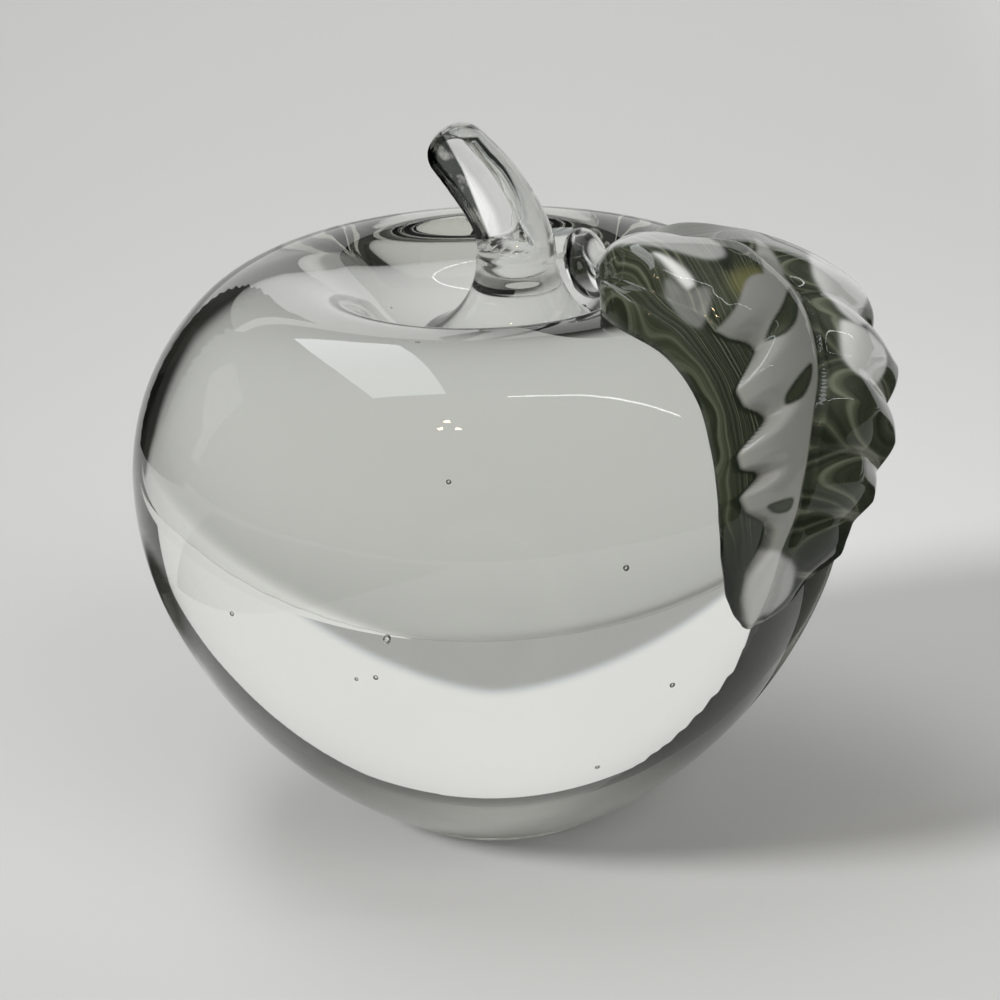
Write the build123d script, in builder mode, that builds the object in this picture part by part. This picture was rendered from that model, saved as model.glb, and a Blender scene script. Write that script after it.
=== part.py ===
from build123d import *
import math
import os

# Art glass apple: a solid clear apple with a bent stem, and a crimped leaf laid over its shoulder.
# Millimetres. +Z is up, the origin is the centre of the ground flat base, and the apple's own axis
# is the Z axis. The stem bends towards -X, and the leaf lies over the shoulder towards +X and -Y.

# The apple: its section is a chain of tangent arcs between the base, the waist, the crest and the dimple
body_radius = 50.0
waist_height = 50.4
crest_height = 78.7
crest_radius = 27.7
dimple_depth = 13.6
# Where the dimple's upper curve hands over to its bowl, as a share of the way in and down
dimple_wall_share = 0.41
base_radius = 17.3
base_bevel = 0.6
belly_arc_radius = 45.4
belly_arc_angle = 23.7
# Radius of the tighter of the shoulder's and the crest's arcs, as a share of the shorter way between them
tight_arc_share = 0.81

# The stem: a horn that bends over to one side, on a foot that flares out into the dimple
stem_offset = 4.6
stem_lean = 7.6
stem_rise = 13.6
stem_radius = 4.9
stem_tip_length = 3.8
# How far the horn's root is set down into the foot, and the narrow ledge that the foot leaves round it
horn_root = 1.2
neck_ledge = 0.3
# How far the horn's line bulges out before it leans, in shares of the lean and of the rise
stem_bend_share = (0.10, 0.38)
# Girth along the horn, as shares of its radius
stem_girth_shares = (1.10, 1.06, 1.02, 1.0, 0.97, 0.91)
# Directions across the rounded tip, in degrees from its root to its end
stem_tip_angles = (24.0, 45.0, 64.0, 80.0)
# The flat that the shears left along the horn, seen from its middle: how far out it lies and where it faces
shear_reach = 2.6
shear_bearing = -122.0
shear_dip = 14.0
foot_radius = 13.8
foot_height = 18.0
foot_edge_height = 4.6
foot_sink = 2.0

# The leaf's stalk: a short bead of glass between the stem's foot and the leaf
stalk_radius = 3.3
bead_radius = 5.1
bead_length = 4.6
stalk_bite = 0.8

# The leaf lies on a fan of planes that share one level hinge line inside the apple
leaf_bearing = -28.0
hinge_reach = 24.0
hinge_height = 52.0
leaf_start_angle = 104.0
leaf_tip_angle = -31.0
leaf_sections = 37
leaf_half_width = 21.0
leaf_thickness = 9.0
leaf_sink = 3.0
# Evenly spaced along the leaf, from stalk to tip, as shares of its half width
left_edge_shares = (0.02, -0.40, -0.66, -0.71, -0.73, -0.78, -0.86, -0.93, -0.98, -1.0, -0.99, -0.94, -0.80)
midrib_shares = (0.20, 0.0, 0.02, 0.22, 0.29, 0.22, -0.03, -0.32, -0.53, -0.65, -0.76, -0.79, -0.78)
right_edge_shares = (0.40, 0.60, 0.86, 1.10, 1.24, 1.30, 1.28, 1.20, 1.02, 0.66, 0.22, -0.22, -0.75)
# How much of the way from the midrib's crest to the left edge the midrib takes
midrib_foot_shares = (0.60, 0.55, 0.52, 0.55, 0.62, 0.66, 0.68, 0.68, 0.64, 0.58, 0.50, 0.45, 0.50)
# The same stations, as shares of the leaf's thickness
midrib_rise_shares = (0.62, 0.88, 0.94, 0.90, 0.86, 0.84, 0.80, 0.74, 0.66, 0.56, 0.42, 0.27, 0.08)
lobe_rise_shares = (0.45, 0.54, 0.62, 0.77, 0.98, 1.20, 1.28, 1.24, 1.12, 0.94, 0.70, 0.40, 0.07)
band_rise_shares = (0.40, 0.50, 0.46, 0.40, 0.35, 0.31, 0.28, 0.26, 0.24, 0.21, 0.17, 0.12, 0.06)
# Across one section, as shares of the way and of the rise: the band beside the left edge,
# the midrib's side from the band up to its crest, and the right half from the crest to its edge
band_shares = ((0.0, 0.35), (0.30, 0.80), (0.80, 1.0))
side_shares = ((0.35, 0.66), (0.75, 0.95), (1.0, 1.0))
half_shares = ((0.13, 0.88), (0.38, 0.90), (0.65, 1.0), (0.86, 0.94), (0.97, 0.64), (1.0, 0.25))

# The creases between the lobes: their angle at the right edge, and how far they climb to the midrib
crease_angles = (27.0, 10.0, -1.0, -8.5, -19.0)
crease_climbs = (30.0, 30.0, 22.0, 15.0, 9.0)
crease_angle_width = 6.0
crease_depth_share = 0.30
notch_share = 0.12


def along(shares, share):
    """Smooth value at a share of the leaf's length, from evenly spaced values."""
    place = share * (len(shares) - 1)
    left = min(int(place), len(shares) - 2)
    part = place - left
    before = shares[max(left - 1, 0)]
    after = shares[min(left + 2, len(shares) - 1)]
    start, end = shares[left], shares[left + 1]
    start_slope, end_slope = (end - before) / 2, (after - start) / 2
    turn = 2 * (start - end) + start_slope + end_slope
    bend = 3 * (end - start) - 2 * start_slope - end_slope
    return start + part * (start_slope + part * (bend + part * turn))


def fan_plane(angle):
    """Plane of one cross-section: X runs across the leaf, Y out from the hinge line."""
    bearing = math.radians(leaf_bearing)
    outward = Vector(math.cos(bearing), math.sin(bearing), 0)
    across = Vector(-math.sin(bearing), math.cos(bearing), 0)
    hinge = outward * hinge_reach + Vector(0, 0, hinge_height)
    out = outward * math.cos(math.radians(angle)) + Vector(0, 0, math.sin(math.radians(angle)))
    return Plane(origin=hinge, x_dir=across, z_dir=across.cross(out))


def skin(solid, angle, across):
    """Distance from the hinge line out to the skin of a solid, in one plane of the fan."""
    plane = fan_plane(angle)
    start = plane.from_local_coords((across, 0, 0))
    hits = solid.find_intersection_points(Axis(start, plane.y_dir))
    return max(plane.to_local_coords(point).Y for point, normal in hits)


def crease(angle, reach):
    """Depth of the creases, 0 to 1, at an angle and at a share of the way out to the right edge."""
    depth = 0
    for edge_angle, climb in zip(crease_angles, crease_climbs):
        offset = (angle - edge_angle - climb * (1 - reach)) / crease_angle_width
        depth = max(depth, math.exp(-offset * offset))
    return depth


# The clear apple, turned about its own axis
shoulder_reach = body_radius - crest_radius
shoulder_rise = crest_height - waist_height
short_way, long_way = sorted((shoulder_reach, shoulder_rise))
tight_radius = short_way * tight_arc_share
wide_radius = (short_way**2 + long_way**2 - 2 * long_way * tight_radius) / (2 * (short_way - tight_radius))
# The two arcs meet where both point the same way, and the crest's ends level at the crest
if shoulder_rise > shoulder_reach:
    shoulder_arc_radius, crest_arc_radius = wide_radius, tight_radius
else:
    shoulder_arc_radius, crest_arc_radius = tight_radius, wide_radius
shoulder_arc_angle = math.degrees(
    math.atan2(abs(shoulder_rise - crest_arc_radius), abs(shoulder_arc_radius - shoulder_reach))
)
with BuildPart() as apple_body:
    with BuildSketch(Plane.XZ) as half_section:
        with BuildLine() as outline:
            waist = (body_radius, waist_height)
            floor = Line((0, 0), (base_radius - base_bevel, 0))
            bevel = Line(floor @ 1, (base_radius, base_bevel))
            belly = JernArc(waist, (0, -1), belly_arc_radius, -belly_arc_angle)
            TangentArc(belly @ 1, bevel @ 1, tangent=belly % 1)
            shoulder = JernArc(waist, (0, 1), shoulder_arc_radius, shoulder_arc_angle)
            crest = TangentArc(shoulder @ 1, (crest_radius, crest_height), tangent=shoulder % 1)
            wall_end_height = crest_height - dimple_depth * dimple_wall_share
            wall_end = (crest_radius * (1 - dimple_wall_share), wall_end_height)
            dimple_wall = TangentArc(crest @ 1, wall_end, tangent=(-1, 0))
            dimple = TangentArc(
                dimple_wall @ 1, (0, crest_height - dimple_depth), tangent=dimple_wall % 1
            )
            Line(dimple @ 1, floor @ 0)
        make_face()
    revolve(axis=Axis.Z)
apple_body.part.label = "apple_body"

# The stem: its foot fills the dimple, and its horn ends in a rounded tip
dimple_floor = crest_height - dimple_depth
neck_height = dimple_floor + foot_height
neck_radius = stem_radius * stem_girth_shares[0] + neck_ledge
horn_bottom = neck_height - horn_root
with BuildPart() as stem:
    with BuildLine(Plane.XZ, mode=Mode.PRIVATE) as horn:
        horn_line = Bezier(
            (stem_offset, horn_bottom),
            (stem_offset - stem_lean * stem_bend_share[0], horn_bottom + stem_rise * stem_bend_share[1]),
            (stem_offset - stem_lean, horn_bottom + stem_rise),
        )
    for place, girth_share in enumerate(stem_girth_shares):
        spot = place / (len(stem_girth_shares) - 1)
        with BuildSketch(Plane(origin=horn_line @ spot, x_dir=(0, 1, 0), z_dir=horn_line % spot)):
            Circle(stem_radius * girth_share)
    tip_way = horn_line % 1
    tip_radius = stem_radius * stem_girth_shares[-1]
    for tip_angle in stem_tip_angles:
        tip_centre = horn_line @ 1 + tip_way * stem_tip_length * math.sin(math.radians(tip_angle))
        narrowing = math.cos(math.radians(tip_angle))
        with BuildSketch(Plane(origin=tip_centre, x_dir=(0, 1, 0), z_dir=tip_way)):
            Circle(tip_radius * narrowing)
    loft(ruled=True)
    # The shears' flat is cut off the side of the horn, down to the foot
    shear_way = Vector(1, 0, 0).rotate(Axis.Y, shear_dip).rotate(Axis.Z, shear_bearing)
    with BuildSketch(Plane(origin=horn_line @ 0.5 + shear_way * shear_reach, z_dir=shear_way)):
        Circle(stem_rise)
    extrude(amount=stem_radius, mode=Mode.SUBTRACT)
    with BuildSketch(Plane.XZ) as foot_section:
        with BuildLine() as foot_outline:
            foot_bottom = dimple_floor - foot_sink
            under = Line((stem_offset, foot_bottom), (stem_offset + foot_radius, foot_bottom))
            edge = Line(under @ 1, (stem_offset + foot_radius, dimple_floor + foot_edge_height))
            neck = (stem_offset + neck_radius, neck_height)
            TangentArc(neck, edge @ 1, tangent=(0, -1))
            top = Line(neck, (stem_offset, neck_height))
            Line(top @ 1, under @ 0)
        make_face()
    revolve(axis=Axis((stem_offset, 0, 0), (0, 0, 1)))
    add(apple_body.part, mode=Mode.SUBTRACT)
stem.part.label = "stem"

# The stalk: a bead from the middle of the stem's foot into the start of the leaf
root_across = leaf_half_width * midrib_shares[0]
root_out = skin(apple_body.part, leaf_start_angle, root_across) + leaf_thickness * midrib_rise_shares[0] / 2
leaf_root = fan_plane(leaf_start_angle).from_local_coords((root_across, root_out))
stalk_start = Vector(stem_offset, 0, leaf_root.Z)
stalk_way = (leaf_root - stalk_start).normalized()
stalk_length = (leaf_root - stalk_start).length + stalk_bite
bead_curve = bead_length / 2
bead_core = bead_radius - bead_curve
bead_turn = 180 - math.degrees(math.asin((stalk_radius - bead_core) / bead_curve))
with BuildPart() as leaf_stalk:
    with BuildSketch(Plane(origin=stalk_start, x_dir=stalk_way, z_dir=stalk_way.cross(Vector(0, 0, 1)))):
        with BuildLine():
            middle = Line((0, 0), (stalk_length, 0))
            end = Line(middle @ 1, (stalk_length, bead_core))
            bead = CenterArc((stalk_length - bead_curve, bead_core), bead_curve, 0, bead_turn)
            shank = Line(bead @ 1, (0, stalk_radius))
            Line(shank @ 1, middle @ 0)
        make_face()
    revolve(axis=Axis(stalk_start, stalk_way))
    add(apple_body.part, mode=Mode.SUBTRACT)
    add(stem.part, mode=Mode.SUBTRACT)
leaf_stalk.part.label = "leaf_stalk"

# The leaf: sections across it, from the stalk over the shoulder to the tip
with BuildPart() as leaf:
    for place in range(leaf_sections):
        share = place / (leaf_sections - 1)
        angle = leaf_start_angle + (leaf_tip_angle - leaf_start_angle) * share
        left = leaf_half_width * along(left_edge_shares, share)
        rib = leaf_half_width * along(midrib_shares, share)
        rib_foot = rib + (left - rib) * along(midrib_foot_shares, share)
        right = leaf_half_width * along(right_edge_shares, share) * (1 - notch_share * crease(angle, 1))
        band_rise = leaf_thickness * along(band_rise_shares, share)
        rib_rise = leaf_thickness * along(midrib_rise_shares, share)
        lobe_rise = leaf_thickness * along(lobe_rise_shares, share)
        top = [(left + (rib_foot - left) * reach, band_rise * lift) for reach, lift in band_shares]
        for reach, lift in side_shares:
            top.append((rib_foot + (rib - rib_foot) * reach, band_rise + (rib_rise - band_rise) * lift))
        for reach, lift in half_shares:
            dip = 1 - crease_depth_share * crease(angle, reach)
            top.append((rib + (right - rib) * reach, lobe_rise * lift * dip))
        points = [(across, skin(apple_body.part, angle, across) + rise) for across, rise in top]
        with BuildSketch(fan_plane(angle)):
            with BuildLine():
                back = Line((left, skin(apple_body.part, angle, left) - leaf_sink), points[0])
                ridge = Spline(*points)
                front = Line(ridge @ 1, (right, skin(apple_body.part, angle, right) - leaf_sink))
                Line(front @ 1, back @ 0)
            make_face()
    loft(ruled=True)
    add(apple_body.part, mode=Mode.SUBTRACT)
    add(stem.part, mode=Mode.SUBTRACT)
    add(leaf_stalk.part, mode=Mode.SUBTRACT)
leaf.part.label = "leaf"

os.makedirs("parts", exist_ok=True)
for piece in (apple_body, stem, leaf_stalk, leaf):
    export_step(piece.part, f"parts/{piece.part.label}.step")
    print(f"{piece.part.label}: {piece.part.volume:.0f} cubic mm, valid {piece.part.is_valid}")
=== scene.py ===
# %% [markdown]
# # A clear glass apple with a crimped leaf
#
# The object is solid clear glass, worked hot: an apple, a stem pulled out of its dimple and nipped off
# with shears, a bead that holds the leaf, and a leaf of green streaked glass laid over the shoulder and
# crimped with a toothed tool. Everything it shows is shape and bending of light, so this lesson spends
# its effort on dense smooth surfaces, on real glass, and on what stands round the glass.

# %% Load the frame and list the solids
import bpy
import math
import numpy as np
from mathutils import Matrix, Vector
from mathutils.bvhtree import BVHTree


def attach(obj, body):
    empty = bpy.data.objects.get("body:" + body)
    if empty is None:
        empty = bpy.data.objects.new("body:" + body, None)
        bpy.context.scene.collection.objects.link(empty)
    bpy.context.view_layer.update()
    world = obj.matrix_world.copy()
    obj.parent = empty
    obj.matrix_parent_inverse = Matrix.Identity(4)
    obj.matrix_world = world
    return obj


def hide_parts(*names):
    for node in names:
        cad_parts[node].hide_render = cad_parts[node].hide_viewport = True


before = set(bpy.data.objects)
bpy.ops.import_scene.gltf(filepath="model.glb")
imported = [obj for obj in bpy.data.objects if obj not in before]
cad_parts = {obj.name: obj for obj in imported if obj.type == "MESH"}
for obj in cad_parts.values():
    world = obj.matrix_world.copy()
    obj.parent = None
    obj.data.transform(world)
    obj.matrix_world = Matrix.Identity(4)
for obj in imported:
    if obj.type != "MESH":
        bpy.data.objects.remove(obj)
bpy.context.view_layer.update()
scene = bpy.context.scene
scene.view_settings.view_transform = "Standard"
MM = 0.001
print("solids:", ", ".join(sorted(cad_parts)))

# %% [markdown]
# ## Camera
#
# The apple is seen from a little above through a long lens, with the camera rolled by two degrees. A
# short lens nearer by would frame it as well, but the rings of the dimple and the base only keep their
# true ellipses at the real distance, so the distance is fixed first and the lens follows from it.

# %% Camera
aim = Vector((0, 0, 0.045))
climb = math.radians(20.7)
roll = math.radians(2.1)
distance = 0.6
away = Vector((0, -math.cos(climb), math.sin(climb)))
lens = bpy.data.cameras.new("apple_camera")
lens.sensor_width = 36
lens.lens = 153.9
lens.shift_x = 0.008
lens.shift_y = -0.0015
lens.clip_start = 0.01
camera = bpy.data.objects.new("apple_camera", lens)
camera.matrix_world = (
    Matrix.Translation(aim + away * distance)
    @ away.to_track_quat("Z", "Y").to_matrix().to_4x4()
    @ Matrix.Rotation(-roll, 4, "Z")
)
scene.collection.objects.link(camera)
scene.camera = camera
print("camera stands at", [round(c, 3) for c in camera.location])

# %% [markdown]
# ## Small helpers for meshes
#
# Every piece here is a closed skin of rings. A ring skin is easier to steer than sculpting, because each
# ring keeps its own numbers, and it closes cleanly at both ends with a fan of triangles.

# %% Helpers for meshes
def make_piece(name, points, faces):
    """A smooth mesh object from points in millimetres, with its faces turned outwards."""
    mesh = bpy.data.meshes.new(name)
    mesh.from_pydata((np.asarray(points, float) * MM).tolist(), [], faces)
    mesh.validate()
    mesh.polygons.foreach_set("use_smooth", [True] * len(mesh.polygons))
    corners = np.array([vertex.co for vertex in mesh.vertices])
    mesh.calc_loop_triangles()
    triangles = np.array([triangle.vertices[:] for triangle in mesh.loop_triangles])
    a, b, c = (corners[triangles[:, corner]] for corner in range(3))
    volume = np.einsum("ij,ij->i", a, np.cross(b, c)).sum() / 6
    if volume < 0:
        mesh.flip_normals()
    piece = bpy.data.objects.new(name, mesh)
    scene.collection.objects.link(piece)
    print(f"{name}: {len(triangles)} triangles, {abs(volume) * 1e6:.1f} cubic cm")
    return piece


def skin_faces(rings, around, first=0):
    """Faces of a closed skin, numbered from first: a pole point, rings of equal length, a pole point."""
    faces = []
    last = first + 1 + rings * around
    for step in range(around):
        faces.append((first, first + 1 + (step + 1) % around, first + 1 + step))
    for row in range(rings):
        low = first + 1 + row * around
        for step in range(around):
            after = (step + 1) % around
            if row < rings - 1:
                faces.append((low + step, low + after, low + around + after, low + around + step))
            else:
                faces.append((low + step, low + after, last))
    return faces


def closed_skin(name, start, rings, end):
    """A piece from a pole point, rings of points and a second pole point, and its points and faces."""
    points = np.vstack([[start], rings.reshape(-1, 3), [end]])
    faces = skin_faces(len(rings), rings.shape[1])
    return make_piece(name, points, faces), points, faces


# %% [markdown]
# ## The apple's section
#
# The apple is turned about its own axis, so one section says it all. The section is a chain of arcs that
# meet tangentially: a spline through points would look much the same in clay, but glass shows the least
# flat spot as a kink in whatever lies behind it, and arcs have none.

# %% The apple's section
body_radius, waist_height = 50.0, 50.4
crest_radius, crest_height, dimple_depth = 27.7, 78.7, 13.6
base_radius, base_bevel = 17.3, 0.6
belly_arc_radius, belly_arc_angle = 45.4, math.radians(23.7)
shoulder_reach, shoulder_rise = body_radius - crest_radius, crest_height - waist_height
crest_arc_radius = 0.81 * shoulder_reach
shoulder_arc_radius = (shoulder_reach**2 + shoulder_rise**2 - 2 * shoulder_rise * crest_arc_radius) / (
    2 * (shoulder_reach - crest_arc_radius)
)
shoulder_arc_angle = math.atan2(shoulder_rise - crest_arc_radius, shoulder_arc_radius - shoulder_reach)


def tangent_arc(start, way, end, steps):
    """Points of the arc that leaves start along way and reaches end, and its direction there."""
    side = (-way[1], way[0])
    gap = (end[0] - start[0], end[1] - start[1])
    radius = (gap[0] ** 2 + gap[1] ** 2) / (2 * (side[0] * gap[0] + side[1] * gap[1]))
    centre = (start[0] + side[0] * radius, start[1] + side[1] * radius)
    first = math.atan2(start[1] - centre[1], start[0] - centre[0])
    last = math.atan2(end[1] - centre[1], end[0] - centre[0])
    turn = (last - first) % math.tau if radius > 0 else -((first - last) % math.tau)
    places = [first + turn * k / steps for k in range(steps + 1)]
    points = [(centre[0] + abs(radius) * math.cos(a), centre[1] + abs(radius) * math.sin(a)) for a in places]
    cosine, sine = math.cos(turn), math.sin(turn)
    return points, (way[0] * cosine - way[1] * sine, way[0] * sine + way[1] * cosine)


waist = (body_radius, waist_height)
belly_end = (
    body_radius - belly_arc_radius * (1 - math.cos(belly_arc_angle)),
    waist_height - belly_arc_radius * math.sin(belly_arc_angle),
)
belly, belly_way = tangent_arc(waist, (0, -1), belly_end, 24)
lower_belly, _ = tangent_arc(belly_end, belly_way, (base_radius, base_bevel), 44)
shoulder_end = (
    body_radius - shoulder_arc_radius * (1 - math.cos(shoulder_arc_angle)),
    waist_height + shoulder_arc_radius * math.sin(shoulder_arc_angle),
)
shoulder, shoulder_way = tangent_arc(waist, (0, 1), shoulder_end, 26)
crest, _ = tangent_arc(shoulder_end, shoulder_way, (crest_radius, crest_height), 18)
wall_end = (crest_radius * 0.59, crest_height - dimple_depth * 0.41)
wall_steps, bowl_steps = 22, 20
wall, wall_way = tangent_arc((crest_radius, crest_height), (-1, 0), wall_end, wall_steps)
bowl, _ = tangent_arc(wall[-1], wall_way, (0, crest_height - dimple_depth), bowl_steps)
section = [(base_radius * share, 0.0) for share in (0, 0.1, 0.3, 0.5, 0.7, 0.85)]
section += [(base_radius - base_bevel, 0.0), (base_radius, base_bevel)]
section += lower_belly[::-1][1:] + belly[::-1][1:] + shoulder[1:] + crest[1:] + wall[1:] + bowl[1:]
section = np.array(section)
print(f"section: {len(section)} points, top at {section[:, 1].max():.2f} mm")

# %% [markdown]
# ## The apple
#
# Spinning the section gives the apple. The rings are close together, because a lens is only as smooth as
# its mesh: the wide body bends the floor and the backdrop into the two big fields that the eye reads first.

# %% The apple
turns = 320
angles = np.arange(turns) * math.tau / turns
apple_rings = np.array([
    np.column_stack([radius * np.cos(angles), radius * np.sin(angles), np.full(turns, height)])
    for radius, height in section[1:-1]
])
poles = (0, 0, section[0, 1]), (0, 0, section[-1, 1])
apple, apple_points, apple_faces = closed_skin("clear_apple", poles[0], apple_rings, poles[1])
apple_tree = BVHTree.FromPolygons((apple_points * MM).tolist(), apple_faces)

# %% [markdown]
# ## The stem
#
# The stem is a horn drawn out of a foot that fills the dimple. Its rings start as level circles on the
# foot, narrow to the horn's own girth, then follow a bent line to a rounded tip. The shears left a flat
# down one side. The foot's underside repeats the dimple a hair inside it, so that the two lumps of glass
# read as one, with the faint line that a real join keeps.

# %% The stem
dimple_line = section[-(wall_steps + bowl_steps):][::-1]
stem_centre = 4.6
dimple_floor = crest_height - dimple_depth
neck_height = dimple_floor + 18.0
horn_foot_height = neck_height - 2.6
foot_edge = (13.8, dimple_floor + 4.6)
join_depth = 0.12


def dimple_height(x, y):
    """Height of the dimple's skin, in millimetres."""
    return np.interp(np.hypot(x, y), dimple_line[:, 0], dimple_line[:, 1])


flare, _ = tangent_arc((5.6, horn_foot_height), (0, -1), foot_edge, 60)
flare = np.array(flare)
around_stem = 160
stem_angles = np.arange(around_stem) * math.tau / around_stem
foot_rows, under_rows = 30, 14
foot_reach = np.zeros(around_stem)
for step, turn in enumerate(stem_angles):
    spots = stem_centre + flare[:, 0] * math.cos(turn), flare[:, 0] * math.sin(turn)
    below = np.nonzero(flare[:, 1] < dimple_height(*spots) - join_depth)[0]
    foot_reach[step] = below[0] if len(below) else len(flare) - 1
stem_rings = []
for row in range(under_rows):
    reach = (row + 1) / under_rows
    radius = np.interp(foot_reach, np.arange(len(flare)), flare[:, 0]) * reach
    x, y = stem_centre + radius * np.cos(stem_angles), radius * np.sin(stem_angles)
    stem_rings.append(np.column_stack([x, y, dimple_height(x, y) - join_depth]))
for row in range(1, foot_rows + 1):
    place = foot_reach * (1 - row / foot_rows)
    radius = np.interp(place, np.arange(len(flare)), flare[:, 0])
    height = np.interp(place, np.arange(len(flare)), flare[:, 1])
    stem_rings.append(np.column_stack([
        stem_centre + radius * np.cos(stem_angles), radius * np.sin(stem_angles), height
    ]))
# The horn: rings along a bent line, with their girth
horn_start, horn_end = np.array((stem_centre, 0, horn_foot_height)), np.array((-3.0, 0, neck_height + 12.4))
horn_bend = horn_start + np.array((0.2, 0, 6.2))
girths = (5.5, 5.35, 5.0, 4.85, 4.75, 4.46)
horn_rows, tip_rows, tip_length = 44, 26, 3.74
shear_way = np.array((-0.514, -0.823, -0.242))
for row in range(1, horn_rows + tip_rows + 1):
    spot = min(row / horn_rows, 1)
    centre = (1 - spot) ** 2 * horn_start + 2 * spot * (1 - spot) * horn_bend + spot**2 * horn_end
    way = (1 - spot) * (horn_bend - horn_start) + spot * (horn_end - horn_bend)
    way /= np.linalg.norm(way)
    girth = np.interp(spot * 5, range(6), girths)
    if row > horn_rows:
        rise = (row - horn_rows) / tip_rows * math.pi / 2
        centre = centre + way * tip_length * math.sin(rise)
        girth *= max(math.cos(rise), 0.02)
    side = np.array((0, 1, 0))
    across = np.cross(side, way)
    circle = np.cos(stem_angles)[:, None] * across + np.sin(stem_angles)[:, None] * side
    stem_rings.append(centre + girth * circle)
stem_rings = np.array(stem_rings)
# The shears' flat: whatever stands out past it is pressed back onto it
horn_middle = 0.25 * horn_start + 0.5 * horn_bend + 0.25 * horn_end
shear_reach = 2.6
proud = (stem_rings - horn_middle) @ shear_way - shear_reach
proud = np.where(stem_rings[:, :, 2] > neck_height - 0.4, np.clip(proud, 0, None), 0)
stem_rings = stem_rings - proud[:, :, None] * shear_way
stem_foot = (stem_centre, 0, dimple_height(stem_centre, 0) - join_depth)
stem, stem_points, _ = closed_skin("drawn_stem", stem_foot, stem_rings, stem_rings[-1].mean(0))
# A mark for the finish to paint dark and mottled along the edge of the shears' flat: painted shade, standing
# for the dark room that the flat shows
horn_way = (horn_end - horn_start) / np.linalg.norm(horn_end - horn_start)
flat_side = np.cross(shear_way, horn_way)
flat_side *= -np.sign(flat_side[0])
out_on_flat = (stem_points - horn_middle) @ flat_side
patch_start = np.interp((stem_points - horn_middle) @ horn_way, (-5, 8), (2.4, 0.2))
pressed = np.concatenate([[0], proud.reshape(-1), [0]]) > 0.02
flat_painted_dark = np.where(pressed, np.clip((out_on_flat - patch_start) / 0.35, 0, 1), 0)
mark = stem.data.attributes.new("flat_painted_dark", "FLOAT", "POINT")
mark.data.foreach_set("value", flat_painted_dark.astype(np.float32))
print(f"sheared patch: {int((flat_painted_dark > 0.5).sum())} points")

# %% [markdown]
# ## The fan that the leaf lies on
#
# The leaf hugs the shoulder, so it is easiest to describe on a fan of planes that share one level line
# inside the apple. A point of the leaf then has three plain numbers: the plane's angle, how far across
# it lies, and how far it stands above the apple's skin.

# %% The fan
fan_bearing = math.radians(-28)
fan_out = np.array((math.cos(fan_bearing), math.sin(fan_bearing), 0))
fan_across = np.array((-math.sin(fan_bearing), math.cos(fan_bearing), 0))
fan_hinge = fan_out * 24 + np.array((0, 0, 52.0))


def skin(angle, across):
    """How far the apple's skin lies from the fan's hinge, in millimetres."""
    start = fan_hinge + fan_across * across
    way = fan_out * math.cos(math.radians(angle)) + np.array((0, 0, math.sin(math.radians(angle))))
    hit = apple_tree.ray_cast(Vector(start * MM), Vector(way))
    return hit[3] / MM


def smooth_table(pairs, blur):
    """A smooth function of the fan's angle from a few (angle, value) pairs."""
    fine = np.arange(-50, 125, 0.25)
    known = sorted(pairs)
    rough = np.interp(fine, [p[0] for p in known], [p[1] for p in known])
    window = np.exp(-0.5 * (np.arange(-24, 25) * 0.25 / blur) ** 2)
    padded = np.pad(rough, 24, mode="edge")
    soft = np.convolve(padded, window / window.sum(), mode="valid")
    return lambda angle: np.interp(angle, fine, soft)


# %% [markdown]
# ## The leaf's lines
#
# These are the lines that a maker would chalk on first: the left edge, the wavy foot of the thick midrib,
# the crest of the midrib, and the right edge with its lobes. Each is a short table of angle and distance.

# %% The leaf's lines
left_edge = smooth_table([
    (104, 0.4), (98, -5), (92, -11), (87, -13.6), (81, -15.2), (75, -15.5), (67, -15.4), (56, -16),
    (47.5, -16.8), (36, -18.6), (23, -20.1), (10, -21.2), (-4, -21.5), (-18.5, -20.5), (-27, -18.4),
    (-31, -16),
], 1.5)
rib_foot = smooth_table([
    (104, -0.5), (96, -5), (88, -8.5), (80, -10.2), (72, -10), (66, -8.6), (62, -9), (59.7, -9.4),
    (55.5, -8.2), (52, -5.8), (48.8, -5.2), (46.8, -8.6), (44.1, -13.2), (39, -13.4), (35.2, -11.4),
    (32.4, -10.8), (30.8, -14), (28.8, -18), (24, -18.2), (21, -15.6), (19.2, -15.8), (16.4, -19.6),
    (11, -19), (6.1, -16.4), (3.5, -15.8), (-0.5, -16.4), (-3.5, -17), (-6, -18.2), (-9.7, -19.2),
    (-18.5, -19.3), (-27.5, -17.3), (-31, -15.9),
], 0.6)
rib_crest = smooth_table([
    (104, 3.6), (100, 1.5), (94, -1.4), (89, -1.7), (80, -0.9), (73.6, 3.4), (70, 6), (62, 5.2),
    (55, 5.7), (48, 4.4), (41, 1.4), (34.5, -1.6), (29, -5.4), (23, -8.4), (12.6, -12),
    (4.5, -13.6), (0.7, -14.8), (-4, -15.8), (-15, -16), (-24.6, -15.8), (-31, -15.7),
], 1.5)
right_edge = smooth_table([
    (104, 8), (98, 12), (92, 16), (81, 20.5), (70, 24.6), (59, 26.6), (48, 27.1), (36, 26.3),
    (25, 24.9), (14, 21), (3, 13.2), (-8, 4.2), (-19, -6.5), (-27, -12.4), (-31, -15.2),
], 2.0)
rib_height = smooth_table([
    (104, 6.4), (96, 8.4), (90, 8.8), (70, 8), (55, 7.2), (41, 6.6), (29, 5.8), (12, 4.9), (0, 4),
    (-15, 2.7), (-25, 1.6), (-31, 0.7),
], 2.0)
lobe_height = smooth_table([
    (104, 4.4), (92, 5.6), (81, 5.4), (70, 6.6), (59, 8.7), (48, 10.65), (36, 11.35), (25, 11.05),
    (14, 9.9), (3, 8.4), (-8, 6.2), (-19, 3.6), (-27, 1.8), (-31, 0.6),
], 2.0)
band_height = smooth_table([
    (104, 3.6), (92, 4.4), (81, 4.2), (70, 3.6), (48, 2.8), (25, 2.4), (3, 2), (-19, 1.4),
    (-31, 0.5),
], 2.0)
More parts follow.
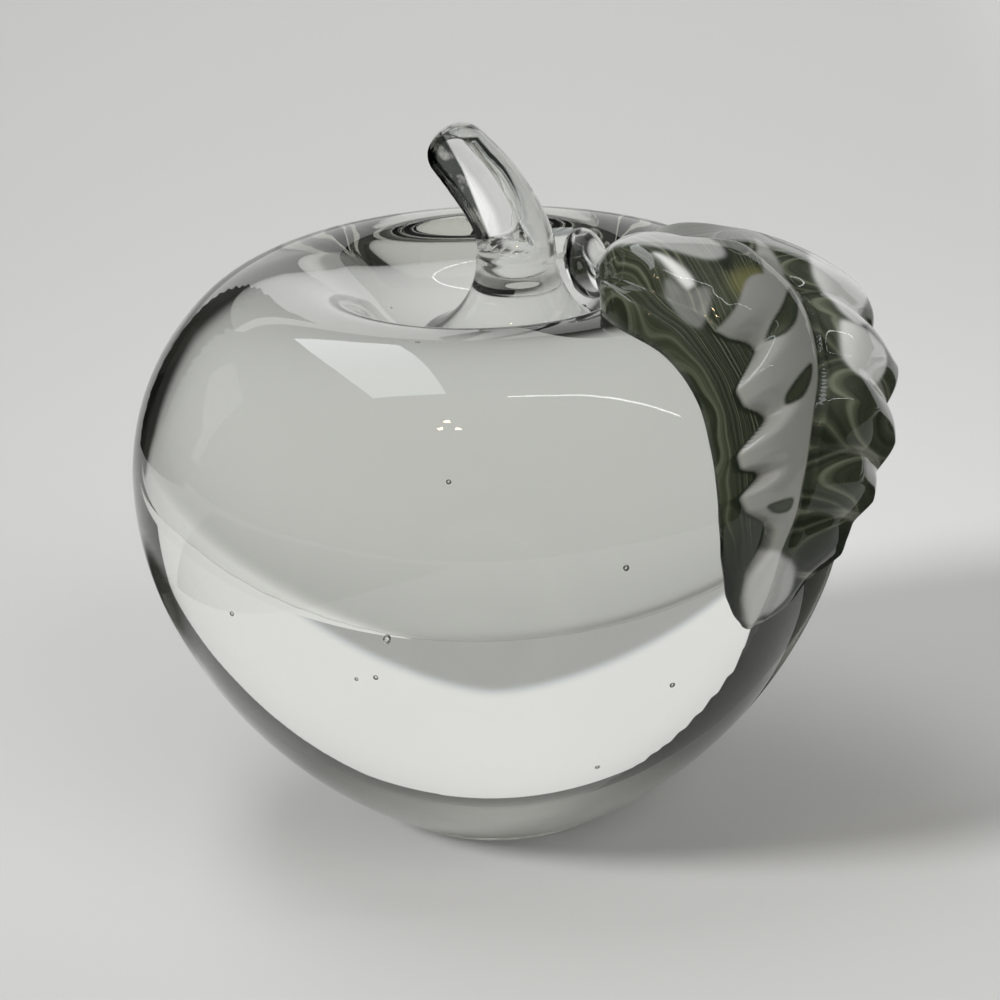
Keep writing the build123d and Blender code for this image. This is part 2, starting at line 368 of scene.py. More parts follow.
# How wide the midrib's crest stays before it falls to the lobes: a slab at the stalk, a ridge below
crest_fall = smooth_table([
    (104, 8), (92, 9.5), (84, 8), (77, 4.5), (68, 3.2), (40, 3), (0, 2.6), (-31, 1.5),
], 2.0)
creases = ((27.0, 30.0), (10.0, 30.0), (-1.0, 22.0), (-8.5, 15.0), (-19.0, 9.0))
print(f"leaf at the waist runs from {left_edge(20):.1f} to {right_edge(20):.1f} mm")

# %% [markdown]
# ## The leaf
#
# Each section of the leaf is the union of three soft forms: a flat band beside the left edge, the thick
# wavy midrib, and the row of pillow lobes on the right. The forms are joined with a power mean, which
# leaves a rounded valley where two meet, as hot glass does. The crimping tool's creases run from the
# right edge up towards the midrib, and each draws a small notch into the edge.

# %% The leaf
def rounded(share, corner):
    """0 at the edge, 1 from the corner's width on, with a quarter-round between."""
    inside = np.clip(share / corner, 0, 1)
    return np.sqrt(1 - (1 - inside) ** 2)


crease_width, notch_depth = 4.6, 2.2


def crease_depth(angle, reach):
    """Depth of the creases between the lobes, 0 to 1."""
    depth = np.zeros_like(reach)
    for edge_angle, climb_angle in creases:
        offset = (angle - edge_angle - climb_angle * (1 - reach)) / crease_width
        depth = np.maximum(depth, np.exp(-np.abs(offset) ** 1.5))
    return depth


def notched_edge(angle):
    """The right edge, drawn in where a crease reaches it."""
    right = right_edge(angle)
    notch = notch_depth * crease_depth(angle, np.array([1.0]))[0]
    return right - notch * np.clip((right - rib_crest(angle)) / 20, 0, 1)


def leaf_rise(angle, across):
    """Height of the leaf's top above the apple's skin, across one section."""
    left, foot, crest_at, right = left_edge(angle), rib_foot(angle), rib_crest(angle), notched_edge(angle)
    band = band_height(angle) * rounded(across - left, 1.4) * rounded(right - across, 1.4)
    reach_left = np.clip((crest_at - across) / max(crest_at - foot, 0.6), 0, 1)
    reach_right = np.clip((across - crest_at) / crest_fall(angle), 0, 1)
    midrib = rib_height(angle) * np.where(
        across < crest_at, (1 - reach_left**2.8) ** (1 / 2.8), (1 - reach_right**2.4) ** 0.7
    )
    out = np.clip((across - crest_at) / max(right - crest_at, 0.5), 0, 1)
    swell = 0.55 + 0.45 * np.sin(np.clip(out / 0.4, 0, 1) * math.pi / 2)
    lobe = lobe_height(angle) * swell * (1 - (0.12 + 0.26 * out**2) * crease_depth(angle, out))
    lobe = lobe * rounded(1 - out, 0.22) * np.clip((across - crest_at) / 1.5, 0, 1)
    rise = (band**5 + midrib**5 + lobe**5) ** 0.2
    return rise


leaf_rows, top_steps, under_steps = 300, 220, 36
leaf_angles = np.linspace(104, -31, leaf_rows)
leaf_under = 0.25
leaf_rings, leaf_marks = [], []
for angle in leaf_angles:
    left = left_edge(angle)
    right = max(notched_edge(angle), left + 0.8)
    share = np.linspace(0, 1, top_steps)
    share = share - 0.6 * np.sin(share * math.tau) / math.tau
    across = left + (right - left) * share
    below = np.linspace(right, left, under_steps + 2)[1:-1]
    known = np.concatenate([across[::4], across[-1:]])
    skins = np.array([skin(angle, place) for place in known])
    top_skin, under_skin = np.interp(across, known, skins), np.interp(below, known, skins)
    rise = leaf_rise(angle, across) - leaf_under
    way = fan_out * math.cos(math.radians(angle)) + np.array((0, 0, math.sin(math.radians(angle))))
    reach = np.concatenate([top_skin + rise, under_skin - leaf_under])
    wide = np.concatenate([across, below])
    leaf_rings.append(fan_hinge + wide[:, None] * fan_across + reach[:, None] * way)
    leaf_marks.append(np.column_stack([np.full(len(wide), angle), wide, np.arange(len(wide)) < top_steps]))
leaf_rings, leaf_marks = np.array(leaf_rings), np.array(leaf_marks)
leaf, _, _ = closed_skin("crimped_leaf", leaf_rings[0].mean(0), leaf_rings, leaf_rings[-1].mean(0))

# %% [markdown]
# ## The bead
#
# Between stem and leaf sits a small squashed bead of clear glass, where the bit was folded round. It is a
# flattened ball with a full rim, built in its own rings, tilted, and pushed into the gap so that it meets
# the stem's foot on one side and the leaf on the other.

# %% The bead
bead_centre = np.array((14.2, -2.6, 79.9))
bead_axis = np.array((0.86, -0.40, 0.32))
bead_axis /= np.linalg.norm(bead_axis)
bead_up = np.cross(bead_axis, np.cross((0, 0, 1), bead_axis))
bead_up /= np.linalg.norm(bead_up)
bead_side = np.cross(bead_axis, bead_up)
bead_thick, bead_radius, bead_narrowing = 2.5, 5.0, 0.86
bead_rows, around_bead = 60, 96
bead_angles = np.arange(around_bead) * math.tau / around_bead
bead_rings = []
for row in range(1, bead_rows):
    turn = math.pi * row / bead_rows
    forward = -bead_thick * math.cos(turn)
    radius = bead_radius * math.sin(turn) ** 0.8
    bead_rings.append(bead_centre + bead_axis * forward + radius * (
        np.cos(bead_angles)[:, None] * bead_up + bead_narrowing * np.sin(bead_angles)[:, None] * bead_side
    ))
bead_end = bead_axis * bead_thick
bead, _, _ = closed_skin("stalk_bead", bead_centre - bead_end, np.array(bead_rings), bead_centre + bead_end)

# %% [markdown]
# ## Clear glass
#
# Clear glass is a Principled shader with full transmission, no roughness and an index of 1.5. Thick glass
# is never quite colourless: a little light is lost on the way through, more of the blue, and that is
# given as absorption in its volume, so that thick parts go greyer by themselves. Painting the grey on the
# surface would tint thin and thick parts alike. Faint cords vary the surface's tint by a hundredth, and the
# mark on the stem paints a dark mottled patch by the shears' flat: painted shade, standing for the dark
# room that the flat shows.

# %% Clear glass
def new_material(name):
    material = bpy.data.materials.new(name)
    material.use_nodes = True
    return material, material.node_tree.nodes, material.node_tree.links


def set_glass(shader, index=1.5):
    shader.inputs["Transmission Weight"].default_value = 1
    shader.inputs["IOR"].default_value = index
    shader.inputs["Roughness"].default_value = 0


def add_absorption(nodes, links, colour, density):
    volume = nodes.new("ShaderNodeVolumeAbsorption")
    volume.inputs["Color"].default_value = (*colour, 1)
    volume.inputs["Density"].default_value = density
    output = next(n for n in nodes if n.type == "OUTPUT_MATERIAL")
    links.new(volume.outputs["Volume"], output.inputs["Volume"])


def add_ramp(nodes, stops):
    """A colour ramp from (position, colour) stops."""
    ramp = nodes.new("ShaderNodeValToRGB")
    elements = ramp.color_ramp.elements
    for element, (position, colour) in zip(elements, (stops[0], stops[-1])):
        element.position = position
        element.color = (*colour, 1)
    for position, colour in stops[1:-1]:
        elements.new(position).color = (*colour, 1)
    return ramp


def mottle(nodes, links, scale, detail, stops):
    """Noise on Object coordinates, read through a colour ramp."""
    place = nodes.new("ShaderNodeTexCoord")
    noise = nodes.new("ShaderNodeTexNoise")
    noise.inputs["Scale"].default_value = scale
    noise.inputs["Detail"].default_value = detail
    ramp = add_ramp(nodes, stops)
    links.new(place.outputs["Object"], noise.inputs["Vector"])
    links.new(noise.outputs["Fac"], ramp.inputs["Fac"])
    return ramp.outputs["Color"]


def read_mark(nodes, name):
    mark = nodes.new("ShaderNodeAttribute")
    mark.attribute_name = name
    return mark.outputs["Fac"]


def mix_by_mark(nodes, links, name, under, over):
    """The under colour turned into the over colour where the mark is 1; over is a colour or an output."""
    mix = nodes.new("ShaderNodeMix")
    mix.data_type = "RGBA"
    links.new(read_mark(nodes, name), mix.inputs["Factor"])
    links.new(under, mix.inputs["A"])
    if isinstance(over, tuple):
        mix.inputs["B"].default_value = (*over, 1)
    else:
        links.new(over, mix.inputs["B"])
    return mix.outputs["Result"]


clear_glass, nodes, links = new_material("clear_glass")
shader = nodes["Principled BSDF"]
set_glass(shader)
cords = mottle(nodes, links, 30, 2, [(0, (0.985, 0.99, 0.985)), (1, (1, 1, 1))])
# painted shade: the dark mottled patch on the stem's shears' flat, standing for the dark room it shows
painted_dark_mottle = mottle(nodes, links, 420, 3, [(0.5, (0.006, 0.007, 0.006)), (0.72, (0.2, 0.2, 0.18))])
links.new(mix_by_mark(nodes, links, "flat_painted_dark", cords, painted_dark_mottle), shader.inputs["Base Color"])
add_absorption(nodes, links, (0.60, 0.61, 0.55), 7.5)
print("clear glass made")

# %% [markdown]
# ## Seeds
#
# A gather of hot glass traps a few round bubbles of air, called seeds. They are real little balls inside the
# apple, with air's index seen from within glass, so each shows a dark ring and a bright middle by itself.

# %% Seeds
seed_glass, nodes, links = new_material("air_seed")
set_glass(nodes["Principled BSDF"], 1 / 1.5)
seed_tint = mottle(nodes, links, 200, 2, [(0, (0.96, 0.97, 0.96)), (1, (1, 1, 1))])
links.new(seed_tint, nodes["Principled BSDF"].inputs["Base Color"])
seed_spots = [
    (-5.4, -43.4, 63.8, 0.34), (16.7, -43.9, 51.6, 0.42), (-15.7, -42.1, 37.2, 0.36),
    (-18.2, -40.8, 36.6, 0.28), (22.3, -36.8, 32.6, 0.40), (-30.0, -18.0, 40.0, 0.30),
    (12.0, -30.0, 20.0, 0.34), (-8.0, 20.0, 30.0, 0.30), (26.0, 24.0, 44.0, 0.34), (-22.0, 30.0, 56.0, 0.26),
]
seed_rows, around_seed = 12, 24
seed_turns = np.arange(around_seed) * math.tau / around_seed
seed_points, seed_faces = [], []
for x, y, z, radius in seed_spots:
    seed_faces += skin_faces(seed_rows - 1, around_seed, len(seed_points))
    seed_points.append((x, y, z - radius))
    for row in range(1, seed_rows):
        tilt = math.pi * row / seed_rows
        reach = radius * math.sin(tilt)
        seed_points.extend(np.column_stack([
            x + reach * np.cos(seed_turns), y + reach * np.sin(seed_turns),
            np.full(around_seed, z - radius * math.cos(tilt)),
        ]))
    seed_points.append((x, y, z + radius))
seeds = make_piece("air_seeds", seed_points, seed_faces)
seeds.data.materials.append(seed_glass)
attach(seeds, "root")

# %% [markdown]
# ## Leaf glass
#
# The leaf is glass crowded with green threads, so it lets only part of the light through and scatters the
# rest. A fully clear leaf shows the room behind it in jumbled patches, and the threads are lost. Here a
# quarter of the light passes, and the colour is painted by marks on the points. One mark runs across the
# threads, so a one-way noise on it draws streaks that follow the leaf. The others say where the glass is
# yellow, where it is a deeper green, and where painted light lies on it: painted shade in dark lines and
# patches, painted highlights as pale lines along the crest, the creases and the edges, clear glass painted
# grey or near white as the backdrop that it shows, and a painted reflection of the window lamp.

# %% Leaf glass
leaf_glass, nodes, links = new_material("leaf_glass")
shader = nodes["Principled BSDF"]
set_glass(shader)
shader.inputs["Transmission Weight"].default_value = 0.25


threads = nodes.new("ShaderNodeTexNoise")
threads.noise_dimensions = "1D"
threads.inputs["Scale"].default_value = 9
threads.inputs["Detail"].default_value = 4
greens = add_ramp(nodes, [
    (0.36, (0.024, 0.029, 0.017)), (0.56, (0.058, 0.067, 0.042)), (0.76, (0.17, 0.185, 0.13)),
])
links.new(read_mark(nodes, "thread"), threads.inputs["W"])
links.new(threads.outputs["Fac"], greens.inputs["Fac"])
layer = greens.outputs["Color"]
# Mark colours: yellow; deeper green and painted shade; grey for the clear column, painted as the backdrop it
# shows; painted highlights; clear glass painted near white, with the painted reflection of the window lamp
for label, colour in (
    ("yellow", (0.26, 0.25, 0.09)),
    ("deep_green_and_shade", (0.010, 0.014, 0.007)),
    ("pale", (0.34, 0.34, 0.32)),
    ("painted_highlight_line", (0.36, 0.37, 0.31)),
    ("clear", (0.95, 0.95, 0.93)),
):
    layer = mix_by_mark(nodes, links, label, layer, colour)
links.new(layer, shader.inputs["Base Color"])
add_absorption(nodes, links, (0.60, 0.62, 0.55), 7.5)


mm_per_degree = 0.58


def outline_depth(outline, angle, across):
    """Millimetres inside a closed outline of (angle, across) points; negative outside it."""
    corners = np.array(outline) * (mm_per_degree, 1)
    for _ in range(2):
        after = np.roll(corners, -1, 0)
        corners = np.stack([0.78 * corners + 0.22 * after, 0.22 * corners + 0.78 * after], 1).reshape(-1, 2)
    spots = np.column_stack([angle * mm_per_degree, across])
    hit = np.zeros(len(spots), bool)
    nearest = np.full(len(spots), 1e9)
    for start, end in zip(corners, np.roll(corners, -1, 0)):
        way = end - start
        share = np.clip(((spots - start) @ way) / max(way @ way, 1e-9), 0, 1)
        nearest = np.minimum(nearest, np.linalg.norm(spots - start - share[:, None] * way, axis=1))
        between = (start[0] > spots[:, 0]) != (end[0] > spots[:, 0])
        cut = start[1] + (spots[:, 0] - start[0]) * way[1] / (way[0] if way[0] != 0 else 1e-9)
        hit ^= between & (spots[:, 1] < cut)
    return np.where(hit, nearest, -nearest)


def soft_step(value, width):
    return 1 / (1 + np.exp(-np.clip(value / width, -40, 40)))


def bump(value, width):
    return np.exp(-((value / width) ** 2))


marks = np.vstack([[leaf_marks[0, 0]], leaf_marks.reshape(-1, 3), [leaf_marks[-1, 0]]])
angle, across, on_top = marks.T
left, foot, crest_at, right = left_edge(angle), rib_foot(angle), rib_crest(angle), right_edge(angle)

# %% [markdown]
# ## Where the leaf is clear and where it is green
#
# The pale column is the thick midrib, clear glass laid over the green, and it is painted grey as the
# backdrop that it shows. A dark line of painted shade lies along its wavy foot, pale lines of painted
# highlight run along its crest and its foot, three green eyes show through it, and a fourth lies by the
# stalk. Hot glass moves in loops, so the threads run along the thin band and circle round each lobe. The
# outlines are drawn once, as short lists of angle and distance, and the depth inside each outline gives
# soft edges, rims and loops alike.

# %% Leaf marks
# The outlines, each a loop of (angle, distance across)
ribbon_outline = [
    (72, 14.6), (69.7, 13.8), (62, 9.6), (56, 7.4), (50, 6), (48, 1), (57.5, -0.3), (61.5, 3.4),
    (64.5, 6.2), (67.5, 10.2), (70.5, 13.2),
]
upper_eye = [
    (55.7, 6.1), (51.2, 4.8), (47.6, 1.1), (46.7, -2.9), (48.5, -5), (51.2, -3.1), (52.5, 0.4),
]
middle_eye = [
    (38.5, -0.9), (34.9, -2.9), (32.2, -6.3), (32.7, -9.2), (35.4, -8.8), (37.2, -6.1),
]
lower_eye = [
    (11.9, -17.8), (11.4, -14), (10.1, -13.3), (7.4, -14.2), (7.8, -16.2),
]
stalk_eye = [
    (79.6, 12.3), (76.9, 14.7), (71, 12.3), (67, 4.7), (67.9, 2.9), (70.6, 2.8), (75, 5.5),
]
swirl_outline = [
    (70.5, 2.6), (68.8, 0.9), (66.2, -1.9), (68.8, -1.8), (71, 1),
]
blade = [
    (104, 6), (98, 2.5), (90.5, 0.6), (82.3, 1.4), (73.3, 3), (68.8, 0.5), (70.6, -2.5), (75.6, -4),
    (81.4, -4.8), (88.6, -5), (96, -3.5), (104, 0.5),
]
upper_window = [
    (57.9, 14.7), (60, 20), (56, 26), (45, 26), (38.5, 14), (37.6, 8.4), (39.9, 7.7), (43.9, 8.1),
    (48.9, 10.4), (53.9, 11),
]
lower_window = [
    (42.1, 6.6), (39.9, 7.7), (35.8, 9.5), (30, 13), (25, 9.5), (25.4, 6.1), (29.1, 2.7),
    (32.2, 2.6), (37.2, 4.1),
]
tip_window = [
    (-1.9, -16.8), (-9.7, -19), (-18.5, -19.1), (-27.5, -17), (-30, -15.6), (-25, -14.4),
    (-18.8, -13), (-11.4, -12.8), (-5.8, -14.6),
]
# The glint is a painted reflection of the window lamp
glint = [
    (83.2, -6), (76.5, -6), (69.7, -6.8), (70.6, -8.3), (76.5, -7.5),
]
olive_panel = [
    (76.9, -8.3), (70.6, -8.3), (67, -5.7), (63.4, -8.2), (62, -11.4), (67.4, -12.1), (74.2, -10),
]
yellow_patch = [
    (65.2, -2.7), (64.3, 0.4), (62, 2.9), (59.3, 1.5), (57.9, -2), (59.8, -4.5), (62.9, -4.2),
]

column_top = 60.5 + 1.5 * np.sin((across + 4) / 2.2)
in_column = np.minimum(across - foot, crest_at + 0.5 - across)
in_column = np.minimum(in_column, (column_top - angle) * 0.6)
ribbon = outline_depth(ribbon_outline, angle, across)
# painted: the column and the ribbon are clear glass, coloured grey as the backdrop they show
pale = soft_step(np.maximum(in_column - 0.1, ribbon), 0.09)
# painted shade: a dark line in the valley at the midrib's foot
deep_green_and_shade = 0.9 * bump(across - foot + 0.5, 0.5) * soft_step(66 - angle, 1.5) * (across < crest_at)
# painted highlights: pale lines along the midrib's foot and crest
painted_highlight_line = 0.7 * bump(across - foot - 0.4, 0.12) * soft_step(60 - angle, 1.0)
painted_highlight_line = np.maximum(painted_highlight_line, 0.9 * bump(across - crest_at + 0.1, 0.22) * soft_step(68 - angle, 1.5))
eyes = (upper_eye, middle_eye, lower_eye, stalk_eye)
eye_depth = np.max([outline_depth(eye, angle, across) for eye in eyes], axis=0)
pale = pale * soft_step(-eye_depth, 0.07)
# the eyes are a deeper green inside, with a pale line of painted highlight round them
deep_green_and_shade = np.maximum(deep_green_and_shade, 0.8 * bump(eye_depth - 0.15, 0.28))
painted_highlight_line = np.maximum(painted_highlight_line, 0.45 * bump(eye_depth + 0.45, 0.14))
swirl = outline_depth(swirl_outline, angle, across)
# painted shade: the dark swirl by the stalk
deep_green_and_shade = np.maximum(deep_green_and_shade, 0.95 * soft_step(swirl + 0.5, 0.25))
# Threads run along the band, and loop round each lobe between its creases
reach_out = np.clip((across - crest_at) / np.maximum(right - crest_at, 0.5), 0, 1)
crease_lines = [np.abs(angle - edge - climb_up * (1 - reach_out)) for edge, climb_up in creases]
nearest = np.min(crease_lines, axis=0)
band_thread = 0.28 * (across - left) + 0.10 * np.sin(angle / 9) + 0.02 * np.sin(angle / 2.7 + across)
panel = soft_step(angle - 66, 4.0)
band_thread = band_thread * (1 - 0.45 * panel) + panel * 0.12 * np.sin(angle / 3.5)
lobe_loops = np.sqrt(((nearest - 7) / 7) ** 2 + ((reach_out - 0.55) / 0.5) ** 2)
lobe_thread = 2.3 + 0.5 * lobe_loops + 0.05 * np.sin(angle / 3)
thread = np.where(across < crest_at, band_thread, lobe_thread)
thread = np.where(eye_depth > 0, 5 + 0.25 * eye_depth, thread)
# Pale lines of painted highlight lie in the lower creases; near the tip the lobes right of the crest are
# painted dark as painted shade, and the band left of the foot is darker
lower_lobes = soft_step(26 - angle + (across + 3) * 0.4, 2.0)
painted_highlight_line = np.maximum(painted_highlight_line, 0.8 * bump(nearest - 0.4, 0.5) * soft_step(reach_out - 0.25, 0.06) * lower_lobes)
deep_green_and_shade = np.maximum(deep_green_and_shade, 0.92 * soft_step(-angle - 1, 2.0) * soft_step(across - crest_at - 1.0, 0.3))
deep_green_and_shade = np.maximum(deep_green_and_shade, 0.9 * soft_step(6 - angle, 4.0) * soft_step(foot - across, 0.2))
# Clear glass painted pale as the backdrop it shows: the blade beside the stalk, two windows in the big lobes
# and the tip; a thin olive panel made a little paler; a painted highlight along the lower right edge; and the
# glint, a painted reflection of the window lamp
clear = 0.3 * bump(right - 0.9 - across, 0.8) * soft_step(24 - angle, 2.0)
for strength, window in (
    (0.45, blade), (0.82, upper_window), (0.82, lower_window),
    (0.55, tip_window), (0.95, glint), (0.22, olive_panel),
):
    clear = np.maximum(clear, strength * soft_step(outline_depth(window, angle, across), 0.16))
clear = np.where(on_top > 0, clear, 0.3)
yellow = 0.55 * soft_step(outline_depth(yellow_patch, angle, across), 0.5)
for label, values in (
    ("clear", clear), ("thread", thread), ("pale", pale),
    ("deep_green_and_shade", deep_green_and_shade), ("painted_highlight_line", painted_highlight_line), ("yellow", yellow),
):
    attribute = leaf.data.attributes.new(label, "FLOAT", "POINT")
    attribute.data.foreach_set("value", values.astype(np.float32))
print(f"leaf marks: {clear.mean():.2f} clear on average")

# %% [markdown]
# ## Finishes onto pieces
#
# Each piece takes its glass here and says which solid it stands for. Nothing moves, so all ride the root.

# %% Put the finishes on
for piece, material, node, slot in (
    (apple, clear_glass, "apple_body", "clear_glass"),
    (stem, clear_glass, "stem", "clear_glass"),
    (bead, clear_glass, "leaf_stalk", "clear_glass"),
    (leaf, leaf_glass, "leaf", "leaf_glass"),
):
    piece.data.materials.append(material)
    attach(piece, "root")
    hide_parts(node)

# %% [markdown]
# ## What the glass shows
#
# Glass shows its surroundings, so the stage is part of the look. A pale floor runs back to a white
# backdrop: the apple turns both upside down, floor above and backdrop as a bright bowl below. Past their
# edges the room is dark, and that dark is what draws the apple's rim.
#
# A studio puts black and white cards where the glass finds them and the picture doesn't. Here a white card
# lies to the right and a grey one stands far left. A black flag to the left, and three dark patches on
# the floor, are shown by the glass only, so that they stay out of the picture from every side.

# %% Floor and backdrop
def toned_sheet(name, corner, wide, tall, steps, tone_of, low, high, glowing):
    """A flat sheet from its low colour to its high one: tone_of gives 0 to 1, or less than 0 for no sheet."""
    across, up = np.meshgrid(np.linspace(0, 1, steps[0] + 1), np.linspace(0, 1, steps[1] + 1))
    spots = np.array(corner) + across[..., None] * np.array(wide) + up[..., None] * np.array(tall)
    tones = tone_of(spots.reshape(-1, 3))
    row = steps[0] + 1
    quads = [(r * row + c, r * row + c + 1, (r + 1) * row + c + 1, (r + 1) * row + c)
             for r in range(steps[1]) for c in range(steps[0])]
    quads = [quad for quad in quads if min(tones[list(quad)]) >= 0]
    mesh = bpy.data.meshes.new(name)
    mesh.from_pydata(spots.reshape(-1, 3).tolist(), [], quads)
    mark = mesh.attributes.new("tone", "FLOAT", "POINT")
    mark.data.foreach_set("value", np.clip(tones, 0, 1).astype(np.float32))
    sheet = bpy.data.objects.new(name, mesh)
    scene.collection.objects.link(sheet)
    material, nodes, links = new_material(name)
    shader = nodes["Principled BSDF"]
    shader.inputs["Roughness"].default_value = 0.9
    shader.inputs["Specular IOR Level"].default_value = 0
    stops = [(0, low), (1, high)]
    # Glowing sheets get a bluish middle stop: a painted colour fringe, standing for the colours that glass
    # splits light into at the backdrop's grey edge
    if glowing:
        painted_fringe = [(a + b) / 2 * tint for a, b, tint in zip(low, high, (0.97, 1.0, 1.06))]
        stops.insert(1, (0.45, painted_fringe))
    ramp = add_ramp(nodes, stops)
    links.new(read_mark(nodes, "tone"), ramp.inputs["Fac"])
    if glowing:
        shader.inputs["Base Color"].default_value = (0, 0, 0, 1)
        shader.inputs["Emission Strength"].default_value = 1
        links.new(ramp.outputs["Color"], shader.inputs["Emission Color"])
    else:
        links.new(ramp.outputs["Color"], shader.inputs["Base Color"])
    mesh.materials.append(material)
    print(f"{name}: {len(quads)} faces")
    return sheet


def smooth(value):
    value = np.clip(value, 0, 1)
    return value * value * (3 - 2 * value)


def floor_tone(spots):
    """Greyer far off to the left, paler near the apple, and almost white to its right."""
    x, y, _ = spots.T
    near = np.exp(-(np.hypot(x - 0.01, y - 0.04) / 0.17) ** 2)
    right_side = smooth((x - 0.10) / 0.12) * smooth((y - 0.02) / 0.2)
    far = smooth((y - 0.25) / 0.6)
    return np.clip(0.18 + 0.21 * smooth((x + 0.35) / 0.4) + 0.35 * near + 0.8 * right_side - 0.14 * far, 0, 1)


toned_sheet("floor", (-1.0, -0.7, -0.0002), (1.5, 0, 0), (0, 1.7, 0), (150, 170), floor_tone,
            (0.34, 0.34, 0.33), (0.76, 0.76, 0.75), False)


def board_tone(spots):
    """White above a low grey peak; the sheet ends where the room is dark."""
    x, _, z = spots.T
    slope = np.where(x > 0, 0.36, 0.21)
    edge = 0.122 - slope * (np.sqrt(x**2 + 0.05**2) - 0.05)
    top = np.interp(x, (-1.0, -0.70, -0.66, 0.2, 0.45, 0.67, 0.96, 1.23, 1.54, 1.6),
                    (0.13, 0.13, 0.76, 0.75, 0.745, 0.65, 0.52, 0.45, 0.38, 0.33))
    tone = smooth((z - edge) / 0.035 + 0.5)
    tone = np.where(x < -0.68, 0, tone)
    return np.where(z <= top, tone, -1)


toned_sheet("backdrop", (-1.0, 1.0, 0), (2.6, 0, 0), (0, 0, 0.76), (260, 76), board_tone,
            (0.49, 0.49, 0.48), (0.97, 0.97, 0.96), True)


def only_where(inside):
    """Full tone inside, and no sheet outside."""
    return np.where(inside, 1.0, -1.0)


def white_card_tone(spots):
    """The card's left edge comes nearer as it runs back."""
    x, y, _ = spots.T
    return only_where(x > 0.30 - 0.17 * smooth((y - 0.3) / 0.7))


def foot_tone(spots):
    """A round patch just inside the apple's ground base."""
    return only_where(np.hypot(spots[:, 0], spots[:, 1]) < foot_glow_radius)


def flag_tone(spots):
    """The flag's right edge leans over towards the apple."""
    x, _, z = spots.T
    heights = (0, 0.03, 0.06, 0.08, 0.12, 0.15, 0.2)
    return only_where(x < np.interp(z, heights, (-0.15, -0.13, -0.11, -0.10, -0.08, -0.06, -0.05)))


def full_tone(spots):
    return np.ones(len(spots))


def shadow_tone(spots):
    """The apple's own shadow, dark below a line that runs off to the right."""
    x, y, _ = spots.T
    below_line = 0.050 + 0.42 * x - 0.10 * np.clip(x - 0.1, 0, 1) - y
    return np.where((below_line > -0.01) & (x > 0.004), smooth(1 - (below_line + 0.006) / 0.011), -1)


def spot_tone(spots):
    """A soft dark spot behind the apple, to the left."""
    x, y, _ = spots.T
    reach = np.hypot((x + 0.078) / 0.022, (y - 0.055) / 0.03)
    return np.where(reach < 1.4, smooth((reach - 0.6) / 0.8), -1)


def left_tone(spots):
    return np.zeros(len(spots))


def show_in_glass_only(sheet):
    """The camera and the lamps' light pass the sheet by."""
    sheet.visible_camera = False
    sheet.visible_diffuse = False
    sheet.visible_shadow = False


white, dim_white, grey, black = (0.93, 0.93, 0.92), (0.62, 0.62, 0.6), (0.5, 0.5, 0.48), (0.03, 0.03, 0.027)
toned_sheet("white_card", (0.12, 0.34, 0.002), (1.5, 0, 0), (0, 0.66, 0), (60, 40), white_card_tone,
            white, white, True)
# The daylight that the apple gathers under its own foot, which the renderer hardly finds by itself
foot_glow_radius = 0.0156
foot_corner, foot_width = (-foot_glow_radius, -foot_glow_radius, -0.0001), 2 * foot_glow_radius
toned_sheet("foot_glow", foot_corner, (foot_width, 0, 0), (0, foot_width, 0), (104, 104), foot_tone,
            dim_white, dim_white, True)
show_in_glass_only(toned_sheet(
    "black_flag", (-0.60, 0.2, 0), (0.56, 0, 0), (0, 0, 0.2), (112, 40), flag_tone, black, black, False
))
toned_sheet("side_card", (-0.81, 0.59, 0.12), (-0.16, -0.33, 0), (0, 0, 0.5), (4, 4), full_tone,
            grey, grey, True)
for name, corner, width, depth, steps, tone_of in (
    ("shadow_card", (0.0, 0.02, 0.0006), 0.34, 0.18, (170, 90), shadow_tone),
    ("spot_card", (-0.12, 0.0, 0.0006), 0.07, 0.11, (50, 70), spot_tone),
    ("left_card", (-0.6, -0.5, 0.0006), 0.50, 0.53, (2, 2), left_tone),
):
    show_in_glass_only(toned_sheet(
        name, corner, (width, 0, 0), (0, depth, 0), steps, tone_of,
        (0.04, 0.04, 0.035), (0.55, 0.55, 0.54), False,
    ))

# %% [markdown]
# ## Lamps
#
# A long window overhead to the left gives the apple its large soft reflection, a slim strip gives the line
# across its front, and three small warm lamps give the dots. They are kept out of what the glass shows
# through itself, because a lamp seen through a solid ball turns up again as a stray patch near its foot.
# Two soft suns, one from the left and one from the right, light the floor and the leaf evenly.

# %% Lamps
lamp_height = 0.8


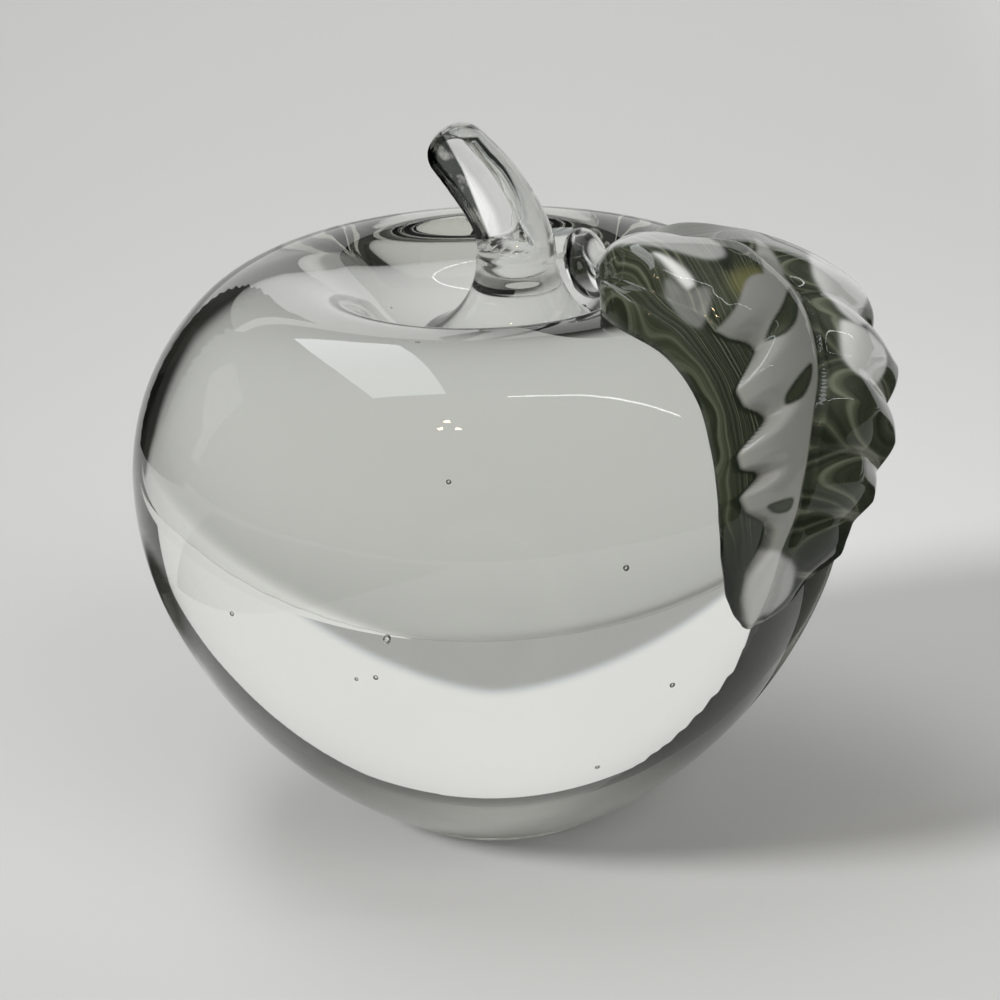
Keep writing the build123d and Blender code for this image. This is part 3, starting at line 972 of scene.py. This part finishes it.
def ceiling_lamp(name, spot, size, power, colour):
    """A rectangular lamp overhead that shines straight down."""
    data = bpy.data.lights.new(name, "AREA")
    data.shape = "RECTANGLE"
    data.size, data.size_y = size
    data.energy = power
    data.color = colour
    lamp = bpy.data.objects.new(name, data)
    lamp.location = (*spot, lamp_height)
    lamp.visible_transmission = False
    scene.collection.objects.link(lamp)


def soft_sun(name, way, strength, spread):
    """A wide sun that lights the room and isn't mirrored in the glass."""
    data = bpy.data.lights.new(name, "SUN")
    data.energy = strength
    data.angle = math.radians(spread)
    lamp = bpy.data.objects.new(name, data)
    lamp.rotation_euler = Vector(way).to_track_quat("Z", "Y").to_euler()
    lamp.visible_glossy = False
    lamp.visible_transmission = False
    scene.collection.objects.link(lamp)


ceiling_lamp("window_lamp", (-0.26, 0.3), (0.27, 0.9), 2.6, (0.95, 0.98, 1))
sun_turn, sun_rise = math.radians(114), math.radians(32)
level = math.cos(sun_rise)
soft_sun("low_sun", (-math.sin(sun_turn) * level, math.cos(sun_turn) * level, math.sin(sun_rise)), 2.4, 14)
soft_sun("front_fill", (0.55, -0.68, 0.48), 1.2, 50)
ceiling_lamp("strip_lamp", (0.53, -0.215), (0.94, 0.012), 0.4, (1, 1, 1))
for number, spot in enumerate(((-0.166, -0.42), (-0.205, -0.475), (-0.13, -0.488)), 1):
    ceiling_lamp(f"warm_lamp_{number}", spot, (0.024, 0.016), 0.06, (1, 0.72, 0.42))
print("lamps:", ", ".join(light.name for light in bpy.data.lights))

# %% [markdown]
# ## The room
#
# Past the floor and the backdrop the room is dim, and it grows lighter overhead, where the ceiling is.

# %% The room
world = bpy.data.worlds.new("room")
world.use_nodes = True
nodes, links = world.node_tree.nodes, world.node_tree.links
place = nodes.new("ShaderNodeTexCoord")
split = nodes.new("ShaderNodeSeparateXYZ")
greys = ((0.42, 0.05), (0.64, 0.09), (0.77, 0.2), (0.9, 0.33))
stops = [(0.1, (0.035, 0.033, 0.028))]
stops += [(height, (tone, tone, tone * 0.96)) for height, tone in greys]
ceiling = add_ramp(nodes, stops + [(1.0, (0.5, 0.5, 0.48))])
links.new(place.outputs["Generated"], split.inputs["Vector"])
links.new(split.outputs["Z"], ceiling.inputs["Fac"])
links.new(ceiling.outputs["Color"], nodes["Background"].inputs["Color"])
scene.world = world
print("room made")
